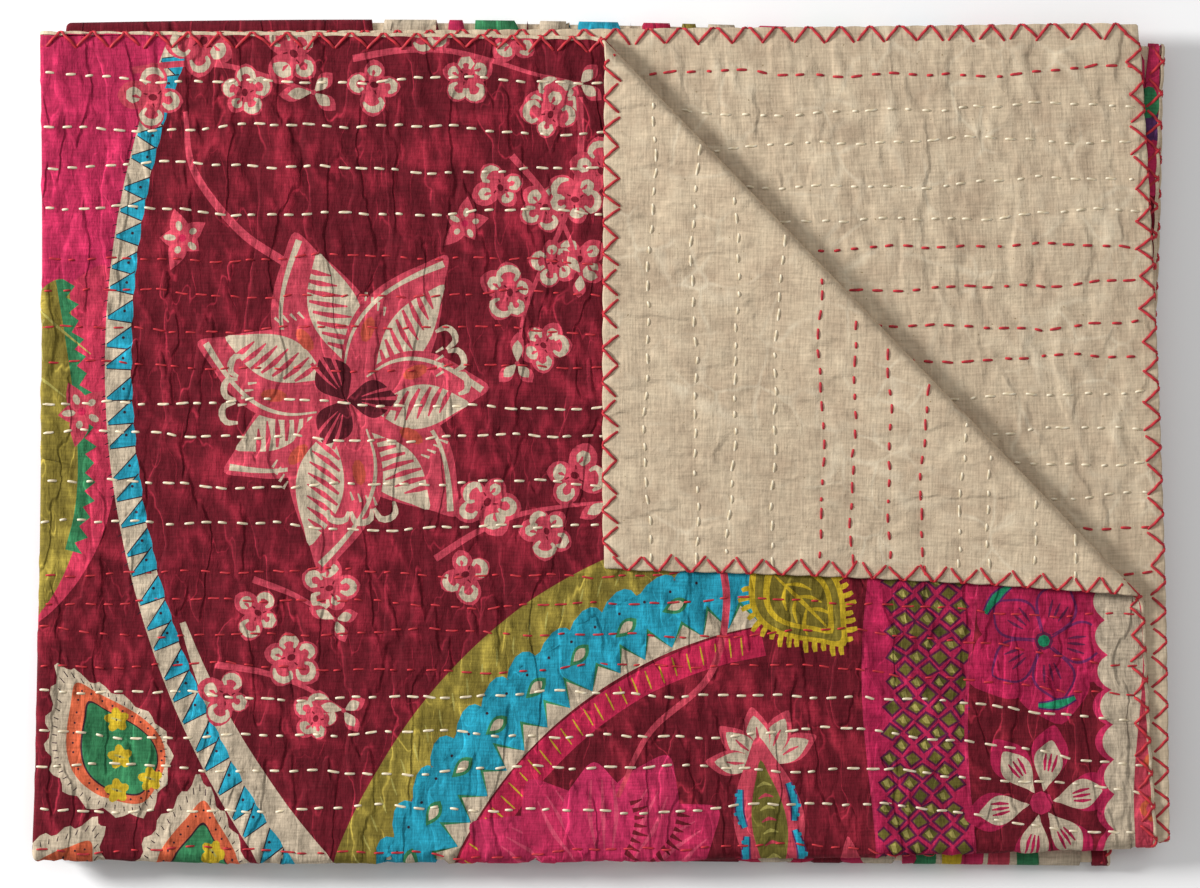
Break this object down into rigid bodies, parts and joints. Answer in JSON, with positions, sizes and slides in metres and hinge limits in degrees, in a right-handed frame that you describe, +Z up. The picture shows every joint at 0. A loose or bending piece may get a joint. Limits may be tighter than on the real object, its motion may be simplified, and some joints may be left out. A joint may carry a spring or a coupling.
{
  "type": "kantha quilt",
  "caption": "Folded kantha quilt of printed cotton with a plain linen backing, hand stitched, lying flat with its top corner turned back.",
  "frame": {"origin": "centre of the folded quilt's outline, on the surface that it lies on", "axes": "+X across the folded quilt, from its sideways fold to its finished edges; +Y from the front folds to the finished top edge; +Z up"},
  "size_m": [0.7718, 0.5783, 0.0371],
  "materials": {
    "printed_cotton": "matt hand-printed plain-weave cotton",
    "linen": "matt undyed plain-weave linen",
    "cream_thread": "soft matt cotton thread",
    "red_thread": "soft matt cotton thread"
  },
  "bodies": {
    "root": {"printed_face": "printed_cotton", "linen_backing": "linen"}
  },
  "joints": []
}
